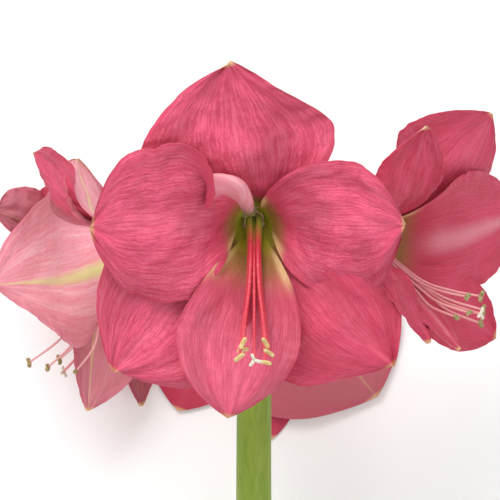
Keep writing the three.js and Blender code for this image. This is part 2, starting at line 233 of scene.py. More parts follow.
# Pairs are the shares of a blade's length between which a feature sets in, or dies away at its end.
# pitches are a pattern's waves across a blade and along it.
bladeShape = {
    "ragged": (0.3, 0.5), "cup": (0.15, 0.6), "ruffle": (0.25, 0.6), "crumple": (0.1, 0.45),
    "frill": (0.3, 0.6), "roll": (0.15, 0.5), "rollEnd": (0.8, 1.0), "tilt": (0.1, 0.4),
    "tiltEnd": (0.75, 1.0), "groove": (0.12, 0.4), "grooveEnd": (0.8, 1.0), "grooveWidth": 0.085,
    "foldFadeIn": 0.1, "foldFadeOut": 0.2, "foldArc": 0.007, "rimPower": 0.45, "tableSoftness": 0.005,
    "raggedPitch": 4.2, "swellPitch": (1.3, 2.4), "frillPitch": (0.8, 9.0), "seedStep": 7.3, "tiny": 1e-5,
}


# A thin blade that bends across its midrib, waves at its margins and lies on the table where it meets it.
def bladeTree():
    shop, inputs = newTree("bladeRoundMidrib", {
        "Rows": 110, "Strips": 104, "Left Half Width": 0.04, "Right Half Width": 0.04,
        "Claw Half Width": 0.006, "Tip Half Width": 0.0006, "Widest": 0.6, "Shoulder": 1.9,
        "Left Point": 2.0, "Right Point": 2.0,
        "Ragged": 0.05, "Cup": 0.0, "Left Tilt": 0.0, "Right Tilt": 0.0, "Left Roll": 0.0, "Right Roll": 0.0,
        "Ruffle Depth": 0.002, "Ruffle Waves": 2.0, "Ruffle Phase": 0.0, "Fold Angle": 0.0, "Fold Width": 0.0,
        "Fold Start": 0.04, "Fold End": 0.42, "Frill": 0.0006, "Crumple": 0.001, "Groove": 0.0006,
        "Thickness": 0.0011, "Table Gap": 0.0006, "Tone": 0.0, "Band": 0.0, "Throat": 0.3, "Seed": 0.0,
    })
    skin, x, y, along = tubeRound(shop, inputs)
    across = -x
    hand = across.sign()
    edge = abs(across)
    right = across.ease(-0.001, 0.001)
    spine = sampleSpine(shop, inputs, along, ("side", "face"), ("wrap",))
    seed = inputs["Seed"] * bladeShape["seedStep"]

    def eachSide(label):
        return inputs[f"Left {label}"].towards(inputs[f"Right {label}"], right)

    def setsIn(feature):
        return along.ease(*bladeShape[feature])

    def pitched(label, depth):
        acrossPitch, alongPitch = bladeShape[label]
        return shop.spot(across * acrossPitch, along * alongPitch, depth)

    # the outline: a claw, a widest place, a tip, and on the right a lobe beyond the margin that folds over
    foldStart, foldEnd = inputs["Fold Start"], inputs["Fold End"]
    fadeIn = along.ease(foldStart, foldStart + bladeShape["foldFadeIn"])
    folding = right * fadeIn * (1 - along.ease(foldEnd - bladeShape["foldFadeOut"], foldEnd))
    outline = shop.noise(shop.spot(hand, along * bladeShape["raggedPitch"], seed), 1.6, 2.0)
    half = eachSide("Half Width") * (1 + (outline - 0.5) * 2 * inputs["Ragged"] * setsIn("ragged"))
    claw, widest = inputs["Claw Half Width"], inputs["Widest"]
    growing = claw + (half - claw) * ((along / widest).below(1.0) * (pi / 2)).sin() ** inputs["Shoulder"]
    past = ((along - widest) / (1 - widest)).above(0.0)
    narrowing = (1 - past ** eachSide("Point")).above(0.0) ** 0.9
    margin = growing.below(half * narrowing + inputs["Tip Half Width"] * past.ease(0.0, 1.0))
    width = margin + inputs["Fold Width"] * folding

    # across the blade: a gentle arc to the hinge, a tight bend where the lobe folds, then the rest
    bend = spine["wrap"] + inputs["Cup"] * setsIn("cup")
    hinge = margin * (0.5 + folding * 0.5)
    reach = width * edge
    flat = reach.below(hinge)
    further = reach - flat
    turned = bend * flat
    rolling = eachSide("Roll") * setsIn("roll") * (1 - setsIn("rollEnd"))
    turning = further.below(bladeShape["foldArc"])
    loose = further - turning
    tilt = eachSide("Tilt") * setsIn("tilt") * (1 - setsIn("tiltEnd"))
    secondTurn = turning * (bend + inputs["Fold Angle"] * folding.ease(0.0, 0.35) / bladeShape["foldArc"])
    thirdTurn = loose * (bend + rolling / (width - hinge))

    def chord(length, turn):
        halfTurn = turn / 2 + bladeShape["tiny"]
        return length * (halfTurn.sin() / halfTurn)

    steps = ((flat, turned, tilt), (turning, secondTurn, tilt + turned),
             (loose, thirdTurn, tilt + turned + secondTurn))
    out, lift = shop.value(0.0), shop.value(0.0)
    for length, turn, heading in steps:
        out = out + chord(length, turn) * (heading + turn / 2).cos()
        lift = lift + chord(length, turn) * (heading + turn / 2).sin()
    lean = tilt * edge.ease(0.0, 0.1) + turned + secondTurn + thirdTurn

    # waves, swellings, a frilled margin and the midrib's groove lift the blade a little
    wave = ((inputs["Ruffle Waves"] * along + inputs["Ruffle Phase"] + hand * 0.3) * (2 * pi)).sin()
    ruffle = inputs["Ruffle Depth"] * edge ** 2 * wave * setsIn("ruffle")
    swell = shop.noise(pitched("swellPitch", seed), 2.2, 2.0)
    frill = shop.noise(pitched("frillPitch", seed + hand), 2.6, 1.5)
    groove = (1 - edge.ease(0.0, bladeShape["grooveWidth"])) * setsIn("groove") * (1 - setsIn("grooveEnd"))
    uneven = inputs["Crumple"] * (swell - 0.5) * 4 * setsIn("crumple")
    fringe = inputs["Frill"] * (frill - 0.5) * 5 * edge.ease(0.55, 1.0) * setsIn("frill")
    lift = lift + ruffle + uneven + fringe - inputs["Groove"] * groove

    # y is 1 on the inner face, -1 on the outer face, and rounds over at the margins
    skinOff = y.sign() * abs(y) ** bladeShape["rimPower"] * inputs["Thickness"] / 2
    sideways = hand * out - hand * lean.sin() * skinOff
    facing = lift + lean.cos() * skinOff
    spot = spine["spot"] + spine["side"] * sideways + spine["face"] * facing

    # a blade that would sink into the table is laid on it
    parts = shop.add("ShaderNodeSeparateXYZ", {}, {0: spot})
    softness, tiny = bladeShape["tableSoftness"], bladeShape["tiny"]
    height = shop.outputOf(parts, 2)
    lowest = inputs["Table Gap"] + skinOff.above(0.0) * 0.8
    clear = height - lowest
    laid = lowest + (clear.above(-softness) + softness) ** 2 / (4 * softness)
    free = clear.ease(softness - tiny, softness + tiny)
    spot = shop.spot(parts, shop.outputOf(parts, 1), laid.towards(height, free))

    # tone carries a petal's painted shade to its finish
    skin = store(shop, skin, across=across, along=along, inner=y.ease(-0.12, 0.12), tone=inputs["Tone"],
                 band=inputs["Band"], throat=inputs["Throat"], seed=seed)
    return finishTree(shop, inputs, skin, spot)


# A round stalk whose radius, and any lobes round it, change along its spine.
def stalkTree():
    shop, inputs = newTree("stalkRoundSpine", {
        "Rows": 60, "Strips": 20, "Lobes": 0.0, "Lobe Depth": 0.0, "Rough": 0.0, "Tone": 0.0, "Seed": 0.0,
    })
    skin, x, y, along = tubeRound(shop, inputs)
    spine = sampleSpine(shop, inputs, along, ("side", "face"), ("radius", "lobed"))
    angle = y.join("ARCTAN2", x)
    bumps = shop.noise(shop.spot(x, y, along * 6 + inputs["Seed"]), 1.5, 1.0)
    lobes = (angle * inputs["Lobes"]).cos() * inputs["Lobe Depth"] * spine["lobed"]
    radius = spine["radius"] * (1 + lobes + (bumps - 0.5) * inputs["Rough"])
    spot = spine["spot"] - spine["side"] * (x * radius) + spine["face"] * (y * radius)
    skin = store(shop, skin, along=along, tone=inputs["Tone"], seed=inputs["Seed"])
    return finishTree(shop, inputs, skin, spot)


# Small grains scattered over a surface.
def grainTree():
    shop, inputs = newTree("pollenOverAnther", {
        "Grains Per Square Metre": 4e6, "Grain Radius": 0.00016, "Seed": 1,
    })
    density = inputs["Grains Per Square Metre"]
    spread = shop.add("GeometryNodeDistributePointsOnFaces", {},
                      {"Mesh": inputs["Spine"], "Density": density, "Seed": inputs["Seed"]})
    grain = shop.add("GeometryNodeMeshIcoSphere", {}, {"Radius": inputs["Grain Radius"], "Subdivisions": 1})
    placed = shop.add("GeometryNodeInstanceOnPoints", {}, {"Points": spread, "Instance": grain})
    both = shop.add("GeometryNodeJoinGeometry")
    for part in (inputs["Spine"], realAndPainted(shop, inputs, placed)):
        shop.tree.links.new(part.socket, both.socket.node.inputs[0])
    return leaveTree(shop, both)


# Points in plant millimetres with a side and a face each, and any further numbers.
def spineObject(name, points, toWorld, **numbers):
    mesh = bpy.data.meshes.new(name)
    mesh.from_pydata([toWorld @ p["spot"] for p in points], [(i, i + 1) for i in range(len(points) - 1)], [])
    turn = toWorld.to_3x3().normalized()
    for label in ("side", "face"):
        values = mesh.attributes.new(label, "FLOAT_VECTOR", "POINT").data
        for value, point in zip(values, points):
            value.vector = turn @ point[label]
    for label, row in numbers.items():
        mesh.attributes.new(label, "FLOAT", "POINT").data.foreach_set("value", row)
    return linked(name, mesh)


def linked(name, data):
    piece = bpy.data.objects.new(name, data)
    bpy.context.scene.collection.objects.link(piece)
    return piece


# Runs a tree on a piece and keeps its result as the piece's plain mesh.
def grow(piece, tree, **sizes):
    modifier = piece.modifiers.new(tree.name, "NODES")
    modifier.node_group = tree
    wanted = {label.replace(" ", "").lower(): value for label, value in sizes.items()}
    for item in tree.interface.items_tree:
        key = item.name.replace(" ", "").lower()
        if item.in_out == "INPUT" and key in wanted:
            modifier[item.identifier] = wanted.pop(key)
    assert not wanted, wanted
    depsgraph = bpy.context.evaluated_depsgraph_get()
    grown = piece.evaluated_get(depsgraph)
    made = bpy.data.meshes.new_from_object(grown, preserve_all_data_layers=True, depsgraph=depsgraph)
    piece.modifiers.clear()
    piece.data = made
    return piece


def joined(name, pieces):
    for other in bpy.context.selected_objects:
        other.select_set(False)
    for piece in pieces:
        piece.select_set(True)
    bpy.context.view_layer.objects.active = pieces[0]
    bpy.ops.object.join()
    pieces[0].name = name
    return pieces[0]


def handOver(piece, node):
    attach(piece, "root")
    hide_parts(node)


def newFinish(name, roughness, **constants):
    material = bpy.data.materials.new(name)
    material.use_nodes = True
    shop = Workshop(material.node_tree)
    shader = material.node_tree.nodes["Principled BSDF"]
    shader.inputs["Roughness"].default_value = roughness
    for socket, value in constants.items():
        shader.inputs[socket.replace("_", " ")].default_value = value
    return material, shop, shader


# what varies over a finish: its colour, its roughness and a bump of so much strength and depth
def paint(shop, shader, colour, roughness, strength, depth, height):
    bump = shop.add("ShaderNodeBump", {}, {"Strength": strength, "Distance": depth, "Height": height})
    for socket, wire in (("Base Color", colour), ("Roughness", roughness), ("Normal", bump)):
        shop.tree.links.new(wire.socket, shader.inputs[socket])


# pitches are how many waves of a pattern lie across a petal and along it
petalLook = {
    "rose": (0.73, 0.07, 0.15),
    # the dark end of the inner face's mottle and its painted shade, and the painted shade on the outer face's
    # margins
    "dusky": (0.55, 0.075, 0.14),
    # painted shade for the outer face of a petal that lies in shadow
    "shade": (0.42, 0.09, 0.12),
    # streaks and the rim, and painted shade on a petal in shadow and in the throat
    "deepRose": (0.5, 0.03, 0.075),
    # the light end of the inner face's mottle and its painted highlight, and fine streaks on the outer face
    "brightRose": (0.87, 0.12, 0.235),
    "paleRose": (0.92, 0.34, 0.42),
    # the outer face's ground, and a painted paler inner face when tone is below zero
    "shell": (0.88, 0.36, 0.43),
    "paleShell": (0.96, 0.6, 0.63),
    "vein": (0.42, 0.02, 0.06),
    "cream": (0.86, 0.62, 0.3),
    "green": (0.44, 0.42, 0.03),
    "olive": (0.3, 0.19, 0.04),
    "midribGreen": (0.76, 0.74, 0.3),
    "tubeGreen": (0.3, 0.33, 0.06),
    "band": (0.7, 0.24, 0.3),
    "blood": (1.0, 0.35, 0.35),
    "cloudPitch": (1.6, 2.2),
    "driftPitch": (1, 3),
    "streakPitch": (11, 2.0),
    "finePitch": (33, 5),
    "netPitch": (34, 20),
    "veinPitch": (3, 3),
    "veinSeedShift": 4,
    "grainPitch": (40, 60),
}


def petalFinish():
    material, shop, shader = newFinish("petalSkin", 0.52, Subsurface_Weight=0.1, Subsurface_Scale=0.0015,
                                       Subsurface_Radius=petalLook["blood"], Specular_IOR_Level=0.3)
    look = petalLook
    across, along, inner, tone, band, throat, seed = (
        shop.attribute(n) for n in ("across", "along", "inner", "tone", "band", "throat", "seed"))
    edge = abs(across)

    def pitched(label, place, shift=0):
        acrossPitch, alongPitch = look[label]
        return shop.spot(place * acrossPitch, along * alongPitch, seed + shift)

    # streaks run from the claw to the tip, finer ones among them, and a net of veins lies over them
    cloud = shop.noise(pitched("cloudPitch", across), 1.7)
    drifting = across + (shop.noise(pitched("driftPitch", across), 2.0) - 0.5) * 0.1
    streaks = shop.noise(pitched("streakPitch", drifting), 1.5, 3.0, 0.6)
    fine = shop.noise(pitched("finePitch", drifting), 1.3, 2.5, 0.6)
    net = shop.add("ShaderNodeTexVoronoi", {"feature": "DISTANCE_TO_EDGE", "voronoi_dimensions": "3D"},
                   {"Vector": pitched("netPitch", drifting), "Scale": 1.0, "Randomness": 0.9})
    netLine = 1 - net.ease(0.0, 0.2)
    veinShow = shop.noise(pitched("veinPitch", across, look["veinSeedShift"]), 1.6, 2.0).ease(0.3, 0.6)
    grain = shop.noise(pitched("grainPitch", across), 1.4, 3.0, 0.7)

    # the inner face: random mottle, a painted highlight towards the tip and middle, painted shade at the
    # margins, and a darker rim
    paintedHighlight = (1 - edge.ease(0.1, 0.75)) * along.ease(0.4, 0.75)
    mottleAndPaintedLight = (cloud + (paintedHighlight - 0.4) * 0.26 + (grain - 0.5) * 0.7).ease(0.32, 0.7)
    ribWidth = along.ease(0.25, 0.95, 0.34, 0.2)
    rib = (1 - (edge / ribWidth).ease(0.0, 1.0)) * along.ease(0.2, 0.4) * band
    depth = along / throat + (fine - 0.5) * 0.35
    creamEdge = edge.ease(0.66, 0.92) * depth.ease(0.4, 0.6) * (1 - depth.ease(0.8, 1.05))
    skin = shop.layOver(
        shop.blend(mottleAndPaintedLight, look["dusky"], look["brightRose"]),
        (streaks.ease(0.42, 0.68) * 0.3, look["deepRose"]),
        (fine.ease(0.48, 0.64) * 0.12, look["paleRose"]),
        ((1 - fine).ease(0.46, 0.62) * 0.4, look["vein"]),
        (netLine * veinShow * 0.34, look["vein"]),
        # painted shade: tone darkens the inner face of a petal that lies in shadow; below zero it paints the
        # petal paler
        (tone.above(0.0), look["deepRose"]),
        ((-tone).above(0.0), look["shell"]),
        (edge.ease(0.94, 0.99) * 0.5, look["deepRose"]),
        (rib * 0.75, look["band"]),
        # the throat: green, then olive, with cream on the margins, and round them a deeper rose that is
        # partly its own colour and partly painted shade in the hollow
        ((1 - depth.ease(0.9, 1.7)) * 0.45, look["deepRose"]),
        ((1 - depth.ease(0.6, 1.12)) * 0.85, look["olive"]),
        (creamEdge * 0.6, look["cream"]),
        (1 - depth.ease(0.3, 0.62), look["green"]))

    # the outer face, with its green midrib and tube, and painted shade on its margins and on a petal that
    # lies in shadow
    ribShape = edge / along.ease(0.1, 0.95, 0.16, 0.05) + (fine - 0.5) * 0.5
    backRib = (1 - ribShape.ease(0.1, 1.0)) * along.ease(0.25, 0.6, 1.0, 0.75)
    back = shop.layOver(
        shop.blend(streaks.ease(0.4, 0.7) * 0.6, look["shell"], look["paleShell"]),
        (fine.ease(0.45, 0.7) * 0.3, look["brightRose"]),
        (netLine * veinShow * 0.2, look["rose"]),
        # painted shade: a petal in shadow takes the shade colour and its green midrib fades, and the margins
        # darken
        (tone.above(0.0) * 0.92, look["shade"]),
        (edge.ease(0.35, 0.95) * 0.35, look["dusky"]),
        (backRib * (0.9 - tone.above(0.0) * 0.7), look["midribGreen"]),
        ((1 - along.ease(0.03, 0.22)) * 0.85, look["tubeGreen"]))
    both = shop.layOver(shop.blend(inner, back, skin), (along.ease(0.972, 0.997) * 0.7, look["cream"]))
    height = streaks * 0.2 + fine * 0.4 + grain * 0.5 - netLine * 0.3
    paint(shop, shader, both, cloud.ease(0.2, 0.8, 0.46, 0.62), 0.5, 0.0006, height)
    return material


filamentLook = {
    "red": (0.62, 0.03, 0.06), "redTip": (0.8, 0.16, 0.2), "pale": (0.72, 0.28, 0.32),
    "paleTip": (0.8, 0.4, 0.38), "streak": (0.95, 0.5, 0.5), "foot": (0.42, 0.46, 0.06),
}


def filamentFinish():
    material, shop, shader = newFinish("filamentSkin", 0.38, Subsurface_Weight=0.1, Subsurface_Scale=0.001)
    along, tone = shop.attribute("along"), shop.attribute("tone")
    red = shop.blend(along.ease(0.7, 1.0) * 0.6, filamentLook["red"], filamentLook["redTip"])
    pale = shop.blend(along.ease(0.5, 1.0), filamentLook["pale"], filamentLook["paleTip"])
    streak = shop.noise(shop.spot(along * 40, tone * 3), 1.0, 2.0)
    colour = shop.layOver(
        shop.blend(tone, red, pale),
        (streak.ease(0.45, 0.7) * 0.12, filamentLook["streak"]),
        (1 - along.ease(0.1, 0.34), filamentLook["foot"]))
    paint(shop, shader, colour, streak.ease(0.2, 0.8, 0.32, 0.46), 0.3, 0.0002, streak)
    return material


def grainyFinish(name, dark, light, scale, roughness=0.75):
    material, shop, shader = newFinish(name, roughness)
    spot = shop.add("ShaderNodeTexCoord", {}, {}, "Object")
    patches = shop.noise(spot, scale)
    specks = shop.add("ShaderNodeTexVoronoi", {}, {"Vector": spot, "Scale": scale * 6})
    colour = shop.layOver(
        shop.blend(patches.ease(0.35, 0.65), dark, light),
        (specks.ease(0.0, 0.6) * 0.35, dark))
    rough = patches.ease(0.2, 0.8, roughness - 0.08, roughness + 0.1)
    paint(shop, shader, colour, rough, 0.6, 0.0003, specks + patches)
    return material


pedicelLook = {
    "dark": (0.22, 0.32, 0.06), "light": (0.34, 0.42, 0.12), "tube": (0.75, 0.5, 0.34),
    "foot": (0.36, 0.3, 0.12), "mottleScale": 260.0,
}


def pedicelFinish():
    material, shop, shader = newFinish("pedicelSkin", 0.42, Subsurface_Weight=0.06, Subsurface_Scale=0.002)
    along = shop.attribute("along")
    mottle = shop.noise(shop.add("ShaderNodeTexCoord", {}, {}, "Object"), pedicelLook["mottleScale"])
    green = shop.layOver(
        shop.blend(mottle.ease(0.35, 0.7), pedicelLook["dark"], pedicelLook["light"]),
        (along.ease(0.84, 0.97) * 0.8, pedicelLook["tube"]),
        ((1 - along.ease(0.0, 0.12)) * 0.5, pedicelLook["foot"]))
    paint(shop, shader, green, mottle.ease(0.2, 0.8, 0.36, 0.5), 0.3, 0.0003, mottle)
    return material


bractLook = {
    "dark": (0.46, 0.36, 0.2), "light": (0.66, 0.5, 0.3), "rib": (0.3, 0.17, 0.08), "foot": (0.4, 0.42, 0.16),
}


def bractFinish():
    material, shop, shader = newFinish("bractPaper", 0.78)
    across, along, seed = (shop.attribute(n) for n in ("across", "along", "seed"))
    ribs = shop.noise(shop.spot(across * 22, along * 1.4, seed), 2.0, 2.0)
    blotch = shop.noise(shop.spot(across * 2, along * 4, seed), 2.0, 4.0)
    paper = shop.layOver(
        shop.blend(blotch.ease(0.35, 0.7), bractLook["dark"], bractLook["light"]),
        (ribs.ease(0.5, 0.75) * 0.6, bractLook["rib"]),
        (1 - along.ease(0.05, 0.35), bractLook["foot"]))
    paint(shop, shader, paper, ribs.ease(0.2, 0.8, 0.7, 0.88), 0.7, 0.0006, ribs + blotch)
    return material


stemLook = {
    "green": (0.19, 0.285, 0.022), "light": (0.235, 0.335, 0.035), "dark": (0.14, 0.21, 0.016),
    "speck": (0.5, 0.55, 0.25), "top": (0.35, 0.2, 0.1), "flesh": (0.62, 0.68, 0.4),
    "stretch": (1.0, 0.035, 1.0), "streakScale": 420.0, "broadScale": 110.0, "speckScale": 900.0,
}


def stemFinish():
    material, shop, shader = newFinish("stemSkin", 0.42, Subsurface_Weight=0.05, Subsurface_Scale=0.002,
                                       Specular_IOR_Level=0.35)
    spot = shop.add("ShaderNodeTexCoord", {}, {}, "Object")
    long = shop.add("ShaderNodeMapping", {"vector_type": "POINT"},
                    {"Vector": spot, "Rotation": (-lieAngle, 0.0, 0.0), "Scale": stemLook["stretch"]})
    streaks = shop.noise(long, stemLook["streakScale"], 3.0, 0.6)
    broad = shop.noise(long, stemLook["broadScale"], 2.0)
    specks = shop.noise(spot, stemLook["speckScale"], 2.0)
    colour = shop.layOver(
        shop.blend(broad.ease(0.3, 0.7), stemLook["green"], stemLook["light"]),
        (streaks.ease(0.45, 0.75) * 0.55, stemLook["dark"]),
        (specks.ease(0.62, 0.8) * 0.25, stemLook["speck"]),
        ((1 - shop.attribute("along").ease(0.0, 0.05)) * 0.35, stemLook["top"]),
        (shop.attribute("flesh"), stemLook["flesh"]))
    paint(shop, shader, colour, streaks.ease(0.2, 0.8, 0.36, 0.5), 0.35, 0.0004, streaks + broad)
    return material


petalSkin = petalFinish()
filamentSkin = filamentFinish()
pollenYellow = grainyFinish("pollenYellow", (0.62, 0.42, 0.13), (0.9, 0.76, 0.42), 700.0)
pollenOlive = grainyFinish("pollenOlive", (0.26, 0.21, 0.07), (0.62, 0.52, 0.26), 700.0)
stigmaWhite = grainyFinish("stigmaWhite", (0.72, 0.66, 0.5), (0.93, 0.9, 0.8), 900.0, 0.6)
pedicelSkin = pedicelFinish()
bractPaper = bractFinish()
stemSkin = stemFinish()
blade, stalk, grains = bladeTree(), stalkTree(), grainTree()
print("finishes and trees ready")

petal = {"length": 116, "halfWidth": 45, "claw": 5.8, "tip": 0.6, "thickness": 1.0, "rows": 110, "steps": 88}
whorls = {
    "inner": {"ring": 6.4, "height": 1.85, "funnel": 21, "widest": 0.6, "layer": 0},
    "outer": {"ring": 8.25, "height": 0, "funnel": 27, "widest": 0.57, "layer": 1.85},
}
# Each petal's place round the tube, its whorl, and how far up it the throat's green and olive reach.
petalPlaces = {
    "top": (0, "outer", 0.2),
    "upper_right": (60, "inner", 0.27),
    "lower_right": (120, "outer", 0.3),
    "bottom": (180, "inner", 0.4),
    "lower_left": (240, "outer", 0.3),
    "upper_left": (300, "inner", 0.27),
}

# seat is where a flower's pedicel leaves the stem, out and rise place its tube, and yaw, nod and roll
# turn it. sink, settle, reach and spread are its stamens' fall, length and fan, and pale their colour.
flowers = {
    "front": dict(seat=0, yaw=0, nod=15, roll=0, out=78, rise=64, sink=1.04, reach=1, spread=1.1, pale=0.0),
    "right": dict(seat=90, yaw=57, nod=8, roll=-30, out=75, rise=53, sink=0.56, reach=1.03, spread=1.5,
                  settle=0.45, pale=1.0),
    "left": dict(seat=270, yaw=-110, nod=16, roll=0, out=76, rise=50, sink=1.3, reach=0.86, spread=4,
                 pale=1.0),
    "back": dict(seat=180, yaw=178, nod=12, roll=0, out=52, rise=36, sink=0.5, reach=0.55, spread=1.0,
                 pale=1.0),
}

# A petal's aim is where its tip points round the flower, clockwise from the top. wide is its half
# widths on either side, point how full its tip is, open its final angle from the flower's axis, curl
# a further bend at its tip, cup its hollow (1/m), ruffle its margin's depth, waves and phase, tilt and
# roll its sides' lift and curled margins, and fold the angle, width, start and end of a lobe turned back.
# tone is painted shade over a petal that lies in shadow, deeper as it grows; below zero it paints the petal
# paler
petalShapes = {
    "front": {
        "top": dict(aim=-11, long=1, wide=(1.42, 1.17), point=(1.8, 1.12), open=86, curl=-6, cup=-2,
                    ruffle=(3.4, 2.3, 0.1), tilt=(3, 3), roll=(-8, -18), ragged=0.08, crumple=2.6,
                    tone=0.1),
        "upper_right": dict(aim=89, long=0.95, wide=(0.79, 1.2), point=(2.8, 2.6), open=68, curl=10, cup=-1,
                            ruffle=(3.4, 2.2, 0.5), tilt=(0, -16), roll=(-14, -10), crumple=2.2,
                            ragged=0.09),
        "lower_right": dict(aim=138, long=1.09, wide=(0.82, 1.34), point=(2, 2.2), open=84, curl=2, cup=-2,
                            ruffle=(3.8, 2.4, 0.2), tilt=(0, 6), roll=(-20, -12), crumple=2.4, ragged=0.09,
                            tone=0.5),
        "bottom": dict(aim=191, long=1.1, wide=(0.74, 0.88), point=(2.1, 2.4), open=74, curl=8, cup=3,
                       ruffle=(3, 2.2, 0), tilt=(4, 4), roll=(-18, -18), tone=-0.08, crumple=1.8,
                       ragged=0.08),
        "lower_left": dict(aim=221, long=1.12, wide=(1.34, 1.05), point=(2.2, 2), open=84, curl=0, cup=-2,
                           ruffle=(3.4, 2.3, 0.7), tilt=(5, 0), roll=(-12, -10), crumple=2, ragged=0.08),
        "upper_left": dict(aim=268, long=1.02, wide=(1.1, 1.04), point=(3, 3.2), open=70, curl=34, cup=-2,
                           ruffle=(3.4, 2.3, 0.3), fold=(165, 33, 0.02, 0.52), roll=(-14, -10), crumple=2.2,
                           ragged=0.09),
    },
    "right": {
        "top": dict(aim=3, long=0.99, wide=(1.12, 1.04), point=(1.9, 3.2), widest=0.42, shoulder=0.7,
                    open=75, curl=4, cup=1, ruffle=(1.6, 2, 0.1), tilt=(-22, 0), tone=0.45),
        "upper_right": dict(aim=41, long=1.06, wide=(0.94, 0.85), point=(2.6, 3), widest=0.46, shoulder=1.1,
                            open=76, curl=6, cup=0, ruffle=(2, 2, 0.4), band=1, tone=0.6),
        "lower_right": dict(aim=84, long=1.02, wide=(0.6, 0.56), point=(2.4, 2.4), open=70, curl=4, cup=0,
                            ruffle=(1.4, 2, 0.8), tone=0.7),
        "bottom": dict(aim=146, long=0.86, wide=(0.5, 0.5), point=(1.8, 1.8), open=36, curl=6, cup=6,
                       ruffle=(1.2, 2, 0.2), band=0.8, tone=0.5),
        "lower_left": dict(aim=152, long=0.88, wide=(0.34, 0.6), point=(2, 2), open=46, curl=4, cup=4,
                           ruffle=(1.2, 2, 0.5), tone=0.6),
        "upper_left": dict(aim=300, long=0.92, wide=(0.62, 0.42), point=(1.8, 1.8), open=67, curl=2, cup=3,
                           ruffle=(1, 2, 0.6), twist=-40, tone=0.5),
    },
    "left": {
        "top": dict(aim=-22, long=0.92, wide=(0.3, 0.47), point=(2.6, 4), open=58, curl=6, cup=0,
                    ruffle=(1.8, 2, 0.3), twist=52, tone=0.2),
        "upper_right": dict(aim=69, long=0.95, wide=(0.66, 0.44), point=(2.2, 2), open=76, curl=0, cup=4,
                            ruffle=(2, 2, 0.9), tone=0.8),
        "lower_right": dict(aim=86, long=1.04, wide=(1.42, 1.04), point=(2.1, 1.45), widest=0.34,
                            shoulder=0.6, open=72, curl=2, cup=-4, ruffle=(2.6, 1.6, 0.2), tilt=(-10, 0),
                            roll=(-26, 0)),
        "bottom": dict(aim=172, long=1, wide=(0.3, 0.95), point=(1.8, 1.8), open=72, curl=4, cup=4,
                       ruffle=(1.2, 2, 0.6), twist=40, tone=0.6),
        "lower_left": dict(aim=189, long=1.08, wide=(0.3, 0.95), point=(1.8, 1.8), open=84, curl=4, cup=0,
                           ruffle=(1.4, 2, 0.4), twist=20, tone=1),
        "upper_left": dict(aim=338, long=0.88, wide=(2, 0.7), point=(3.4, 2.4), open=78, curl=4, cup=3,
                           ruffle=(1.2, 2, 0.1), tone=-0.2),
    },
    "back": {
        "top": dict(aim=0, long=1, wide=(1, 1), point=(2, 2), open=70, curl=6, cup=0, ruffle=(1.4, 2, 0.2)),
        "upper_right": dict(aim=62, long=0.98, wide=(0.9, 0.9), point=(2, 2), open=64, curl=6, cup=0,
                            ruffle=(1.4, 2, 0.5)),
        "lower_right": dict(aim=160, long=1.06, wide=(0.9, 0.9), point=(2, 2), open=76, curl=6, cup=-1,
                            ruffle=(1.6, 2, 0.8), tone=0.9),
        "bottom": dict(aim=186, long=1.12, wide=(0.72, 0.72), point=(1.8, 1.8), open=77, curl=6, cup=2,
                       ruffle=(1.2, 2, 0), tone=0.7),
        "lower_left": dict(aim=219, long=1.1, wide=(1.55, 1.15), point=(2.4, 2.4), open=80, curl=4, cup=-1,
                           ruffle=(2.4, 2, 0.3), tone=1),
        "upper_left": dict(aim=298, long=0.98, wide=(0.9, 0.9), point=(2, 2), open=64, curl=6, cup=0,
                           ruffle=(1.4, 2, 0.7)),
    },
}


def flowerFrame(flower):
    yaw = radians(flower["yaw"])
    at = Matrix.Translation((flower["out"] * sin(yaw), flower["rise"], flower["out"] * cos(yaw)))
    turn = Matrix.Rotation(yaw, 4, "Y") @ Matrix.Rotation(radians(flower["nod"]), 4, "X")
    return at @ turn @ Matrix.Rotation(radians(flower["roll"]), 4, "Z")


# The midrib from the tube to the tip, with its side, its inner face and how it wraps round the tube.
def midribPoints(angle, whorl, shape):
    steps, length = petal["steps"], petal["length"] * shape["long"]

    def heading(v):
        opening = mix(whorl["funnel"], shape["open"], ease(v, 0.03, 0.66))
        opened = radians(opening + shape["curl"] * ease(v, 0.62, 1))
        around = radians(mix(angle, shape["aim"], ease(v, 0, 0.6)))
        return opened, around

    def wayAt(v):
        opened, around = heading(v)
        return Vector((sin(opened) * sin(around), sin(opened) * cos(around), cos(opened)))

    start = radians(angle)
    spot = Vector((whorl["ring"] * sin(start), whorl["ring"] * cos(start), whorl["height"]))
    points = []
    for i in range(steps + 1):
        v = i / steps
        way = wayAt(v)
        opened, around = heading(v)
        turn = Matrix.Rotation(radians(shape.get("twist", 0)) * ease(v, 0.1, 0.7), 3, way)
        side = turn @ Vector((cos(around), -sin(around), 0))
        wrap = cos(opened) / hypot(spot.x, spot.y) * (1 - ease(v, 0.35, 0.8))
        points.append({"spot": spot.copy(), "side": side, "face": side.cross(way), "wrap": wrap / mm})
        spot += wayAt(v + 0.5 / steps) * (length / steps)
    return points


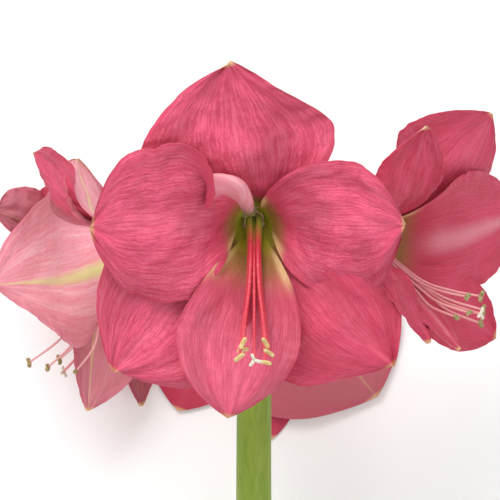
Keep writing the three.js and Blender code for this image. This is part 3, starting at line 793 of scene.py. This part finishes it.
def makePetal(flowerName, where, flower, seed):
    shape = petalShapes[flowerName][where]
    angle, whorlName, throat = petalPlaces[where]
    whorl = whorls[whorlName]
    points = midribPoints(angle, whorl, shape)
    name = f"{flowerName}_petal_{where}"
    toWorld = plant @ flowerFrame(flower)
    piece = spineObject(f"{name}_blade", points, toWorld, wrap=[p["wrap"] for p in points])
    depth, waves, phase = shape["ruffle"]
    foldAngle, foldWidth, foldFrom, foldTo = shape.get("fold", (0, 0, 0.05, 0.5))
    sides = {}
    for k, hand in enumerate(("Left", "Right")):
        sides[f"{hand} Half Width"] = petal["halfWidth"] * mm * shape["wide"][k]
        sides[f"{hand} Point"] = float(shape["point"][k])
        sides[f"{hand} Tilt"] = radians(shape.get("tilt", (0, 0))[k])
        sides[f"{hand} Roll"] = radians(shape.get("roll", (-12, -12))[k])
    grow(piece, blade, **sides, **{
        "Rows": petal["rows"], "Claw Half Width": petal["claw"] * mm, "Tip Half Width": petal["tip"] * mm,
        "Widest": shape.get("widest", whorl["widest"]), "Shoulder": float(shape.get("shoulder", 1.9)),
        "Ragged": shape.get("ragged", 0.06), "Cup": float(shape["cup"]), "Ruffle Depth": depth * mm,
        "Ruffle Waves": float(waves), "Ruffle Phase": float(phase), "Fold Angle": radians(foldAngle),
        "Fold Width": foldWidth * mm, "Fold Start": foldFrom, "Fold End": foldTo,
        "Thickness": petal["thickness"] * mm, "Table Gap": (petal["thickness"] / 2 + whorl["layer"]) * mm,
        "Crumple": shape.get("crumple", 1.2) * mm, "Tone": float(shape.get("tone", 0)),
        "Band": float(shape.get("band", 0.1)), "Throat": throat, "Seed": float(seed), "Material": petalSkin,
    })
    handOver(piece, name)


stamen = {
    "ring": 3.7, "base": 1.7, "tip": 0.9, "steps": 40, "angles": (50, 90, 130, 230, 270, 310),
    "slimming": 0.28, "shortest": 0.94, "lengthStep": 0.03, "antherLength": 7.4, "antherRadius": 1.2,
    "antherBow": 1.1, "antherSteps": 24, "antherFan": 25, "grains": 2.2e6, "grainRadius": 0.00017,
}
style = {
    "base": 1.25, "tip": 0.9, "extra": 1.05, "lobe": 1.0, "lobeLength": 4.6, "lobeRise": 2.0, "lobeTurn": 20,
    "lobeSteps": 16,
}
# reach is the filaments' length, path their fall and forward reach in shares of it, slope their bundle's
# lean, and narrow and fan how their ring shrinks past the throat and then spreads
bundle = {
    "reach": 100, "path": ((0, 0), (0.01, 0.16), (0.11, 0.34), (0.29, 0.5), (0.46, 0.65), (0.56, 0.86)),
    "slope": 62, "narrow": 0.75, "fan": 2.1,
}


# A smooth line through given points, as evenly spaced points.
def smoothLine(points, count):
    points = [Vector(p) for p in points]
    ends = [2 * points[0] - points[1], *points, 2 * points[-1] - points[-2]]
    fine, between = [], 24
    for i in range(len(points) - 1):
        a, b, c, d = ends[i:i + 4]
        for k in range(between):
            t = k / between
            fine.append(0.5 * ((2 * b) + (c - a) * t + (2 * a - 5 * b + 4 * c - d) * t ** 2
                               + (3 * b - a - 3 * c + d) * t ** 3))
    fine.append(points[-1])
    lengths = [0.0]
    for p, q in zip(fine, fine[1:]):
        lengths.append(lengths[-1] + (q - p).length)
    even, j = [], 0
    for i in range(count + 1):
        target = lengths[-1] * i / count
        while j < len(fine) - 2 and lengths[j + 1] < target:
            j += 1
        share = (target - lengths[j]) / max(1e-9, lengths[j + 1] - lengths[j])
        even.append(fine[j].lerp(fine[j + 1], min(1, share)))
    return even


def wayAlong(line, i):
    return (line[min(i + 1, len(line) - 1)] - line[max(i - 1, 0)]).normalized()


# Turns a line of points into spine points whose side and face do not spin round it.
def withSides(line):
    points = []
    side = wayAlong(line, 0).orthogonal()
    for i, spot in enumerate(line):
        way = wayAlong(line, i)
        side = (side - way * side.dot(way)).normalized()
        points.append({"spot": spot, "side": side, "face": side.cross(way)})
    return points


def makeStalk(name, line, radii, toWorld, material, rows=60, strips=20, lobed=None, **sizes):
    piece = spineObject(name, withSides(line), toWorld, radius=[r * mm for r in radii],
                        lobed=lobed or [1.0] * len(line))
    sizes = {label.replace("_", " "): size for label, size in sizes.items()}
    return grow(piece, stalk, Rows=rows, Strips=strips, Material=material, **sizes)


# Radii that close in a round end, for a rod of so many steps.
def roundedRadii(steps, length, radius):
    nears = [min(k / steps, 1 - k / steps) * length for k in range(steps + 1)]
    return [radius * (1 - max(0, 1 - near / radius) ** 2) ** 0.5 + 0.02 for near in nears]


def taperedRadii(line, base, tip, slim=1):
    last = len(line) - 1
    return [slim * mix(base, tip, i / last) for i in range(last + 1)]


# A filament's line, or the style's in the middle when it has no angle.
def filamentLine(flower, angle, reachShare):
    points = []
    path = bundle["path"]
    lowest = path[-1][0]
    for i, (fall, forward) in enumerate(path):
        down = lowest * (fall / lowest) ** flower.get("settle", 1) * flower["sink"]
        share = i / (len(path) - 1)
        narrowed = mix(1, bundle["narrow"], ease(share, 0, 0.4))
        wide = mix(narrowed, bundle["fan"] * flower["spread"], ease(share, 0.45, 1))
        ring = 0 if angle is None else stamen["ring"] * wide
        reach = bundle["reach"] * flower["reach"] * mix(1, reachShare, share)
        slope = radians(bundle["slope"] * flower["sink"] * ease(share, 0, 0.6))
        turn = radians(angle or 0)
        across, over = ring * sin(turn), ring * cos(turn)
        spot = Vector((across, over * cos(slope) - down * reach, over * sin(slope) + forward * reach))
        points.append(Matrix.Rotation(radians(-flower["roll"]), 3, "Z") @ spot)
    return smoothLine(points, stamen["steps"])


def makeStamen(flowerName, index, flower):
    toWorld = plant @ flowerFrame(flower)
    name = f"{flowerName}_stamen_{index + 1}"
    reachShare = stamen["shortest"] + stamen["lengthStep"] * ((index * 2) % 5)  # uneven round the flower
    line = filamentLine(flower, stamen["angles"][index], reachShare)
    pollen = pollenOlive if flower["pale"] else pollenYellow
    radii = taperedRadii(line, stamen["base"], stamen["tip"], 1 - stamen["slimming"] * flower["pale"])
    thread = makeStalk(f"{name}_filament", line, radii, toWorld, filamentSkin, rows=70, strips=14,
                       Tone=flower["pale"], Rough=0.08, Seed=float(index))
    middle = (len(stamen["angles"]) - 1) / 2
    lean = radians(stamen["antherFan"] * (index - middle) + 90)
    along = Vector((-sin(lean), cos(lean), 0.15)).normalized()
    length, steps = stamen["antherLength"], stamen["antherSteps"]
    rod = []
    for k in range(steps + 1):
        bow = Vector((0, 0, 1)) * (stamen["antherBow"] * (2 * k / steps - 1) ** 2)
        rod.append(line[-1] + along * (length * (k / steps - 0.5)) + bow)
    shape = roundedRadii(steps, length, stamen["antherRadius"])
    anther = makeStalk(f"{name}_sac", rod, shape, toWorld, pollen, rows=36, strips=20, Lobes=2.0,
                       Lobe_Depth=0.16, Rough=0.25, Seed=float(index))
    grow(anther, grains, **{
        "Grains Per Square Metre": stamen["grains"], "Grain Radius": stamen["grainRadius"], "Seed": index,
        "Material": pollen,
    })
    handOver(joined(f"{name}_whole", [thread, anther]), name)


def makeStyle(flowerName, flower):
    toWorld = plant @ flowerFrame(flower)
    name = f"{flowerName}_style"
    line = filamentLine(flower, None, style["extra"])
    radii = taperedRadii(line, style["base"], style["tip"])
    parts = [makeStalk(f"{name}_thread", line, radii, toWorld, filamentSkin, rows=70, strips=16,
                       Tone=flower["pale"] * 0.8, Rough=0.05)]
    way = (line[-1] - line[-3]).normalized()
    length, steps = style["lobeLength"], style["lobeSteps"]
    for lobe in range(3):
        turn = radians(style["lobeTurn"] + 120 * lobe)
        out = Vector((-sin(turn), cos(turn), 0))
        rod = []
        for k in range(steps + 1):
            t = k / steps
            rod.append(line[-1] + out * (length * t ** 1.3) + way * (style["lobeRise"] * t * (1 - 0.6 * t)))
        shape = roundedRadii(steps, length, style["lobe"])
        parts.append(makeStalk(f"{name}_lobe{lobe}", rod, shape, toWorld, stigmaWhite, rows=24, strips=14,
                               Rough=0.2))
    handOver(joined(f"{name}_whole", parts), name)


pedicel = {
    "radius": 3.7, "ring": 6.1, "ovary": 6.3, "neck": 4.9, "gap": 0.35, "tube": 9.35, "handle": 0.42,
    "curveSteps": 240, "steps": 90, "lobeDepth": 0.07,
}


def makePedicel(flowerName, flower):
    toPlant = flowerFrame(flower)
    seat = radians(flower["seat"])
    start = Vector((sin(seat), 0, cos(seat))) * pedicel["ring"] + Vector((0, pedicel["gap"], 0))
    facing = (toPlant.to_3x3() @ Vector((0, 0, 1))).normalized()
    end = toPlant @ Vector((0, 0, -pedicel["gap"]))
    span = (end - start).length
    handle = pedicel["handle"]
    handles = [start, start + Vector((0, span * handle, 0)), end - facing * span * handle, end]
    fine = []
    for i in range(pedicel["curveSteps"] + 1):
        t = i / pedicel["curveSteps"]
        weights = ((1 - t) ** 3, 3 * t * (1 - t) ** 2, 3 * t * t * (1 - t), t ** 3)
        fine.append(sum((w * h for w, h in zip(weights, handles)), Vector()))
    line = smoothLine(fine[::4], pedicel["steps"])
    radii, lobed = [], []
    for i in range(len(line)):
        share = i / (len(line) - 1)
        ovary = ease(share, 0.66, 0.8) * (1 - ease(share, 0.84, 0.92))
        plain = mix(pedicel["radius"], pedicel["neck"], ease(share, 0.75, 0.9))
        radii.append(mix(mix(plain, pedicel["ovary"], ovary), pedicel["tube"], ease(share, 0.9, 1)))
        lobed.append(ovary)
    piece = makeStalk(f"{flowerName}_pedicel_stalk", line, radii, plant, pedicelSkin, rows=110, strips=48,
                      lobed=lobed, Lobes=3.0, Lobe_Depth=pedicel["lobeDepth"], Rough=0.05)
    handOver(piece, f"{flowerName}_pedicel")


for number, (flowerName, flower) in enumerate(flowers.items()):
    makePedicel(flowerName, flower)
    for k, where in enumerate(petalPlaces):
        makePetal(flowerName, where, flower, number * len(petalPlaces) + k + 1)
    for index in range(len(stamen["angles"])):
        makeStamen(flowerName, index, flower)
    makeStyle(flowerName, flower)
    print("flower made:", flowerName)

stem = {
    "length": 440, "top": 10.9, "cut": 12.6, "wall": 3.4, "sides": 96, "outerRings": 56, "boreRings": 24,
    "ridge": 0.006, "fineRidge": 0.004, "waver": 0.25,
}


# The stem's outline from the middle of its crown, down its outside, round the cut rim and up its bore,
# as radius, height and 1 where it is cut flesh.
def stemOutline():
    length, top, cut, wall, crown = stem["length"], stem["top"], stem["cut"], stem["wall"], crownRadius
    outside = [(0, 0, 0), (7, -0.1, 0), (top + 0.5, -0.2, 0), (top + 1.1, -1.2, 0),
               (top + 1.25, -crown * 0.5, 0), (top + 0.9, -crown, 0), (top + 0.2, -crown * 1.5, 0),
               (top, -crown * 1.8, 0)]
    for i in range(1, stem["outerRings"]):
        share = i / stem["outerRings"]
        outside.append((mix(top, cut, share), mix(-crown * 1.8, -length, share), 0))
    rim = [(cut - 0.15, -length + 0.5, 0), (cut - 0.4, -length + 0.1, 1), (cut - wall * 0.5, -length, 1),
           (cut - wall + 0.3, -length + 0.1, 1), (cut - wall, -length + 0.6, 1)]
    inside = []
    for i in range(1, stem["boreRings"] + 1):
        share = i / stem["boreRings"]
        inside.append((mix(cut, top, share) - wall, mix(-length, -crown * 2.6, share), 1))
    return [*outside, *rim, *inside, (4, -crown * 2.1, 1), (0, -crown * 1.9, 1)]


def makeStem():
    outline, sides = stemOutline(), stem["sides"]
    spots, faces, flesh, along, starts = [], [], [], [], []
    for r, y, cutFace in outline:
        starts.append(len(spots))
        for j in [0] if r == 0 else range(sides):
            turn = 2 * pi * j / sides
            ridge = 1 + stem["ridge"] * sin(9 * turn + 0.6) + stem["fineRidge"] * sin(17 * turn + y * 0.01)
            wobble = stem["waver"] * sin(y * 0.021) * ease(-y, 40, 120) * (1 - ease(-y, 330, 420))
            spots.append(plant @ Vector((r * ridge * sin(turn) + wobble, y, r * ridge * cos(turn))))
            flesh.append(float(cutFace))
            along.append(-y / stem["length"])
    for i in range(len(outline) - 1):
        a, b = starts[i], starts[i + 1]
        for j in range(sides):
            k = (j + 1) % sides
            if outline[i][0] == 0:
                faces.append((a, b + j, b + k))
            elif outline[i + 1][0] == 0:
                faces.append((a + j, b, a + k))
            else:
                faces.append((a + j, b + j, b + k, a + k))
    mesh = bpy.data.meshes.new("stemTube")
    mesh.from_pydata(spots, [], faces)
    for label, row in (("flesh", flesh), ("along", along)):
        mesh.attributes.new(label, "FLOAT", "POINT").data.foreach_set("value", row)
    mesh.shade_smooth()
    mesh.materials.append(stemSkin)
    handOver(linked("stem_tube", mesh), "stem")


makeStem()

bract = {"length": 54, "halfWidth": 8.5, "thickness": 0.5, "foot": 13.55}


def makeBract(name, turn, seed):
    foot, length = bract["foot"], bract["length"]
    droop = smoothLine([
        (0, -crownRadius * 0.85, foot), (0, -crownRadius * 0.45, foot + 0.3), (0, 0, foot + length * 0.16),
        (0, -length * 0.22, foot + length * 0.4), (0, -length * 0.62, foot + length * 0.45)], petal["steps"])
    points = []
    side = Vector((-1, 0, 0))
    for i, spot in enumerate(droop):
        wrap = mix(0.9 / foot, 0.13, ease(i / (len(droop) - 1), 0.1, 0.7)) / mm
        points.append({"spot": spot, "side": side, "face": -wayAlong(droop, i).cross(side), "wrap": wrap})
    toWorld = plant @ Matrix.Rotation(turn, 4, "Y")
    piece = spineObject(f"{name}_paper", points, toWorld, wrap=[p["wrap"] for p in points])
    width = bract["halfWidth"] * mm
    grow(piece, blade, **{
        "Rows": 90, "Strips": 64, "Left Half Width": width, "Right Half Width": width,
        "Claw Half Width": width * 0.96, "Tip Half Width": 0.0006, "Widest": 0.1, "Left Point": 2.0,
        "Right Point": 2.0, "Ruffle Depth": 0.0012, "Ruffle Waves": 2.6, "Ruffle Phase": seed,
        "Frill": 0.0009, "Crumple": 0.0012, "Groove": 0.0, "Thickness": bract["thickness"] * mm,
        "Table Gap": 0.0006, "Seed": seed, "Material": bractPaper,
    })
    handOver(piece, name)


makeBract("bract_front", radians(45), 0.3)
makeBract("bract_back", radians(225), 0.8)
print("stem and bracts made")

# lamps are their place from the middle of the flowers, their size and their power
studio = {
    "floorReach": 6, "floorDrop": 0.0005, "floorColour": (0.95, 0.95, 0.95, 1), "middle": (0, 60, 60),
    "lamps": {"keyLight": ((-0.7, 1.1, 1.5), 1.4, 28), "fillLight": ((1.0, -0.9, 1.6), 1.8, 9)},
    "air": (1, 1, 1, 1), "airStrength": 0.75, "lens": 180.5, "sensor": 36, "far": 20, "eye": (-2.5, 45, 1600),
}


def makeFloor():
    mesh = bpy.data.meshes.new("floorSheet")
    reach = studio["floorReach"]
    corners = [(-reach, -reach, 0), (reach, -reach, 0), (reach, reach, 0), (-reach, reach, 0)]
    mesh.from_pydata(corners, [], [(0, 1, 2, 3)])
    mesh.materials.append(newFinish("floorWhite", 0.9, Base_Color=studio["floorColour"])[0])
    floor = linked("floor", mesh)
    floor.location.z = -studio["floorDrop"]


def lightUp():
    middle = plant @ Vector(studio["middle"])
    for name, (away, size, power) in studio["lamps"].items():
        light = bpy.data.lights.new(name, "AREA")
        light.shape, light.size, light.energy = "DISK", size, power
        lamp = linked(name, light)
        lamp.location = middle + Vector(away)
        lamp.rotation_euler = (middle - lamp.location).to_track_quat("-Z", "Y").to_euler()
    world = bpy.data.worlds.new("paleRoom")
    world.use_nodes = True
    sky = world.node_tree.nodes["Background"]
    sky.inputs["Color"].default_value = studio["air"]
    sky.inputs["Strength"].default_value = studio["airStrength"]
    bpy.context.scene.world = world


def makeCamera():
    data = bpy.data.cameras.new("studioCamera")
    data.lens, data.sensor_width, data.clip_end = studio["lens"], studio["sensor"], studio["far"]
    camera = linked("studioCamera", data)
    camera.location = plant @ Vector(studio["eye"])
    camera.rotation_euler = (lieAngle, 0, 0)
    bpy.context.scene.camera = camera
    bpy.context.scene.view_settings.view_transform = "Standard"


makeFloor()
lightUp()
makeCamera()
print("floor, light and camera ready")
